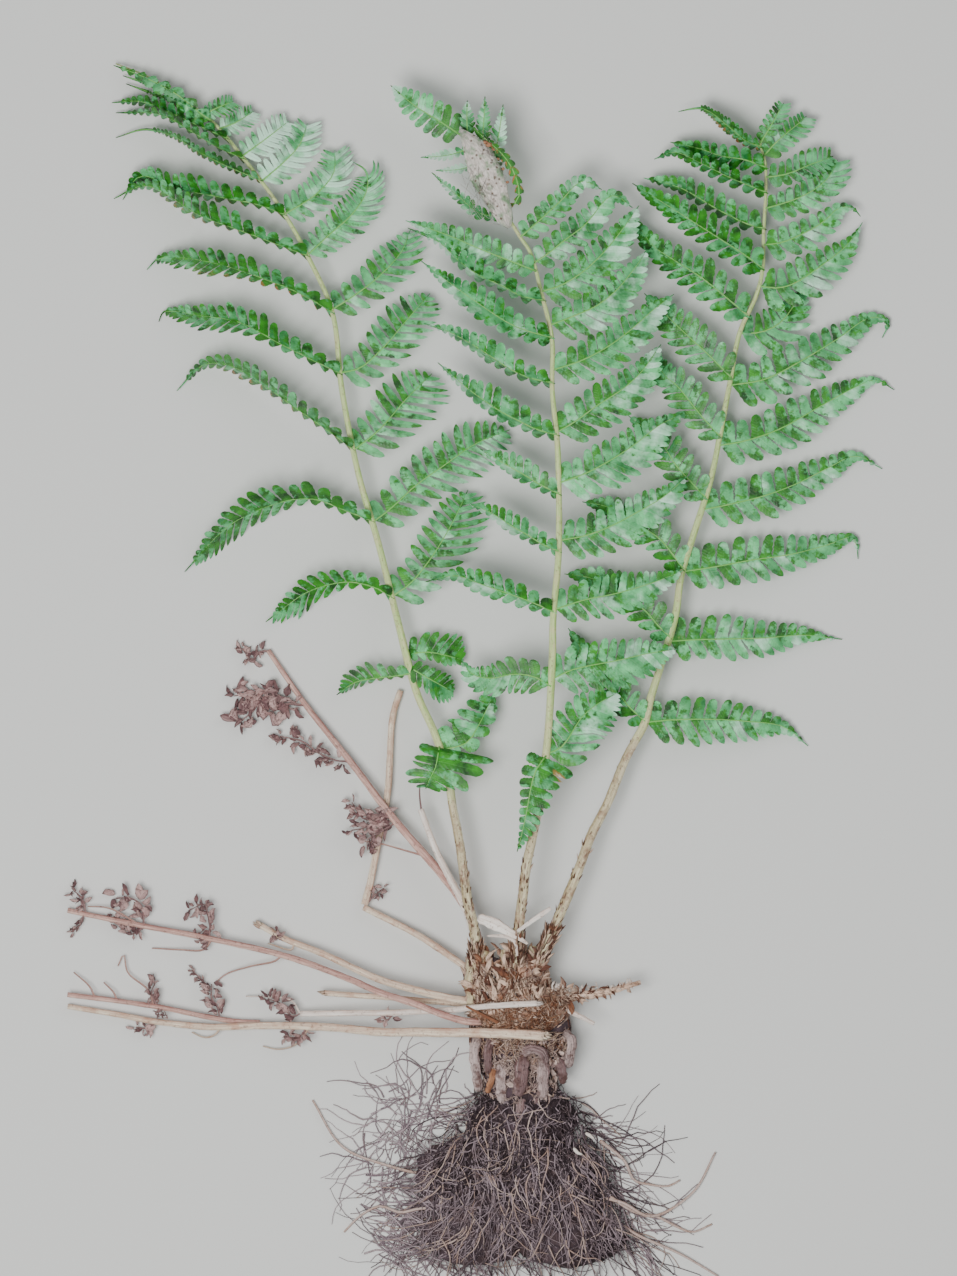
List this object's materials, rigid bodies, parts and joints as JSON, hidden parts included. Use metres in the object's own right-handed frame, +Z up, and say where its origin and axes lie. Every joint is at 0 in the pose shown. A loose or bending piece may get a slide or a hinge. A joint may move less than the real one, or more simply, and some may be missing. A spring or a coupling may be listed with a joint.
{
  "type": "marginal wood fern",
  "caption": "Uprooted evergreen fern lying flat: leathery fronds cut into leaflets, a scaly crown with dead stalks, and a mat of dark wiry roots.",
  "frame": {"origin": "on the surface, under the crown, at the middle of the flat that the rhizome rests on", "axes": "+Y from the crown towards the frond tips, +X to the right of the plant as it lies, +Z up from the surface"},
  "size_m": [0.4134, 0.6235, 0.0472],
  "materials": {
    "blade": "satin, leathery",
    "stipe": "smooth with dark specks",
    "rhizome": "rough, fibrous",
    "rust_scales": "papery",
    "roots": "matt, wiry",
    "dead_brown": "dry",
    "dead_straw": "dry",
    "torn_white": "dry, split",
    "silk": "papery silk"
  },
  "bodies": {
    "root": {"rhizome": "rhizome", "crown_scales": "rust_scales", "roots": "roots", "left_stipe": "stipe", "middle_stipe": "stipe", "right_stipe": "stipe", "left_frond": "blade", "middle_frond": "blade", "right_frond": "blade", "dead_stalk_1": "dead_brown", "dead_stalk_2": "dead_straw", "dead_stalk_3": "dead_straw", "dead_stalk_4": "dead_straw", "dead_stalk_5": "dead_brown", "dead_stalk_6": "dead_straw", "dead_stalk_7": "torn_white", "dead_stalk_8": "dead_straw", "dead_stalk_9": "dead_brown", "torn_stalk": "dead_straw", "stalk_stub": "torn_white", "torn_strips": "torn_white", "silk_nest": "silk"}
  },
  "joints": []
}
